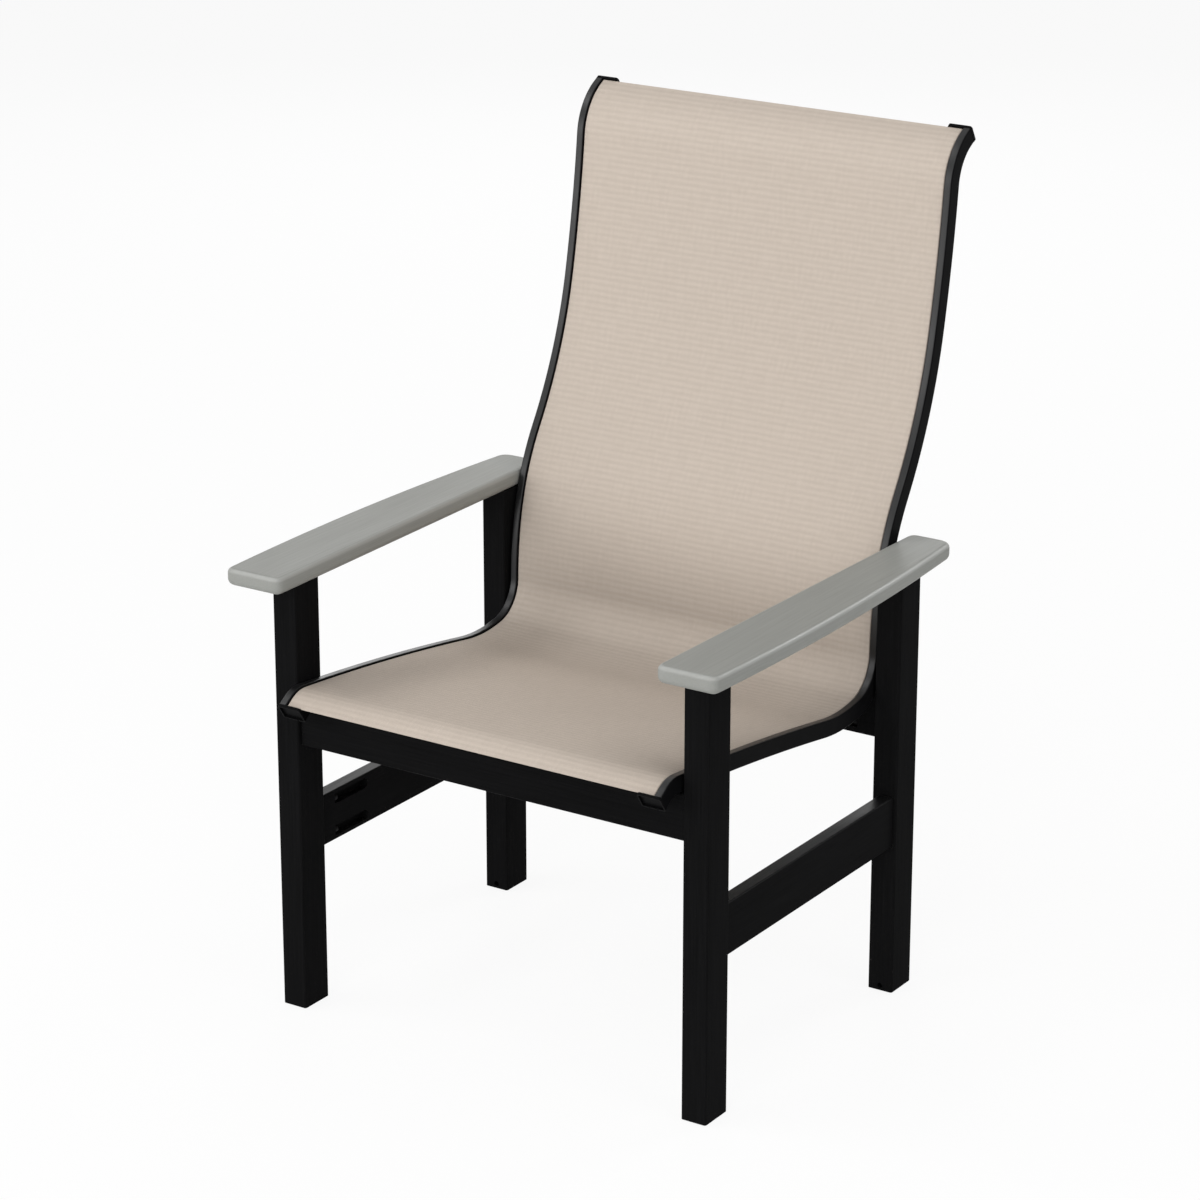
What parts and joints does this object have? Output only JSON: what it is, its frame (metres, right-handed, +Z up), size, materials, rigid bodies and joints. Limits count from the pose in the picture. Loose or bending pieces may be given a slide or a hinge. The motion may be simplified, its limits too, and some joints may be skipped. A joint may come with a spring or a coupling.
{
  "type": "sling patio chair",
  "caption": "High-back outdoor dining armchair: a cloth sling stretched between bent side rails, on a square-legged lumber frame with broad flat arms.",
  "frame": {"origin": "on the ground, under the middle of the whole chair's bounding box", "axes": "+Z up; the chair faces -Y; +X is the left side as the sitter has it"},
  "size_m": [0.7478, 0.7564, 1.1328],
  "materials": {
    "frame_lumber": "black recycled-plastic lumber, fine brushed grain along each board, low sheen",
    "arm_lumber": "warm grey recycled-plastic lumber, brushed grain along the arm, low sheen",
    "rail_coat": "black powder coat on an aluminium extrusion, satin",
    "sling_cloth": "woven outdoor mesh in warm sand, fine cross ribs, matt",
    "black_plastic": "moulded black plastic, satin",
    "fastener_steel": "dark-finished stainless steel"
  },
  "bodies": {
    "root": {"leg_front_left": "frame_lumber", "foot_glide_front_left": "black_plastic", "arm_stud_front_left": "fastener_steel", "rail_bolt_front_left": "fastener_steel", "rail_spacer_front_left": "black_plastic", "stretcher_bolt_front_left_lower": "fastener_steel", "stretcher_bolt_front_left_upper": "fastener_steel", "leg_front_right": "frame_lumber", "foot_glide_front_right": "black_plastic", "arm_stud_front_right": "fastener_steel", "rail_bolt_front_right": "fastener_steel", "rail_spacer_front_right": "black_plastic", "stretcher_bolt_front_right_lower": "fastener_steel", "stretcher_bolt_front_right_upper": "fastener_steel", "leg_back_left": "frame_lumber", "foot_glide_back_left": "black_plastic", "arm_stud_back_left": "fastener_steel", "rail_bolt_back_left": "fastener_steel", "rail_spacer_back_left": "black_plastic", "stretcher_bolt_back_left_lower": "fastener_steel", "stretcher_bolt_back_left_upper": "fastener_steel", "leg_back_right": "frame_lumber", "foot_glide_back_right": "black_plastic", "arm_stud_back_right": "fastener_steel", "rail_bolt_back_right": "fastener_steel", "rail_spacer_back_right": "black_plastic", "stretcher_bolt_back_right_lower": "fastener_steel", "stretcher_bolt_back_right_upper": "fastener_steel", "arm_left": "arm_lumber", "side_stretcher_left": "frame_lumber", "sling_rail_left": "rail_coat", "sling_spline_left": "black_plastic", "rail_cap_front_left": "black_plastic", "rail_cap_top_left": "black_plastic", "seat_spreader_bar_screw_left": "fastener_steel", "back_spreader_bar_screw_left": "fastener_steel", "front_apron_bolt_left_lower": "fastener_steel", "rear_cross_board_bolt_left_lower": "fastener_steel", "front_apron_bolt_left_upper": "fastener_steel", "rear_cross_board_bolt_left_upper": "fastener_steel", "arm_right": "arm_lumber", "side_stretcher_right": "frame_lumber", "sling_rail_right": "rail_coat", "sling_spline_right": "black_plastic", "rail_cap_front_right": "black_plastic", "rail_cap_top_right": "black_plastic", "seat_spreader_bar_screw_right": "fastener_steel", "back_spreader_bar_screw_right": "fastener_steel", "front_apron_bolt_right_lower": "fastener_steel", "rear_cross_board_bolt_right_lower": "fastener_steel", "front_apron_bolt_right_upper": "fastener_steel", "rear_cross_board_bolt_right_upper": "fastener_steel", "front_apron": "frame_lumber", "rear_cross_board": "frame_lumber", "seat_spreader_bar": "rail_coat", "back_spreader_bar": "rail_coat", "sling": "sling_cloth"}
  },
  "joints": []
}
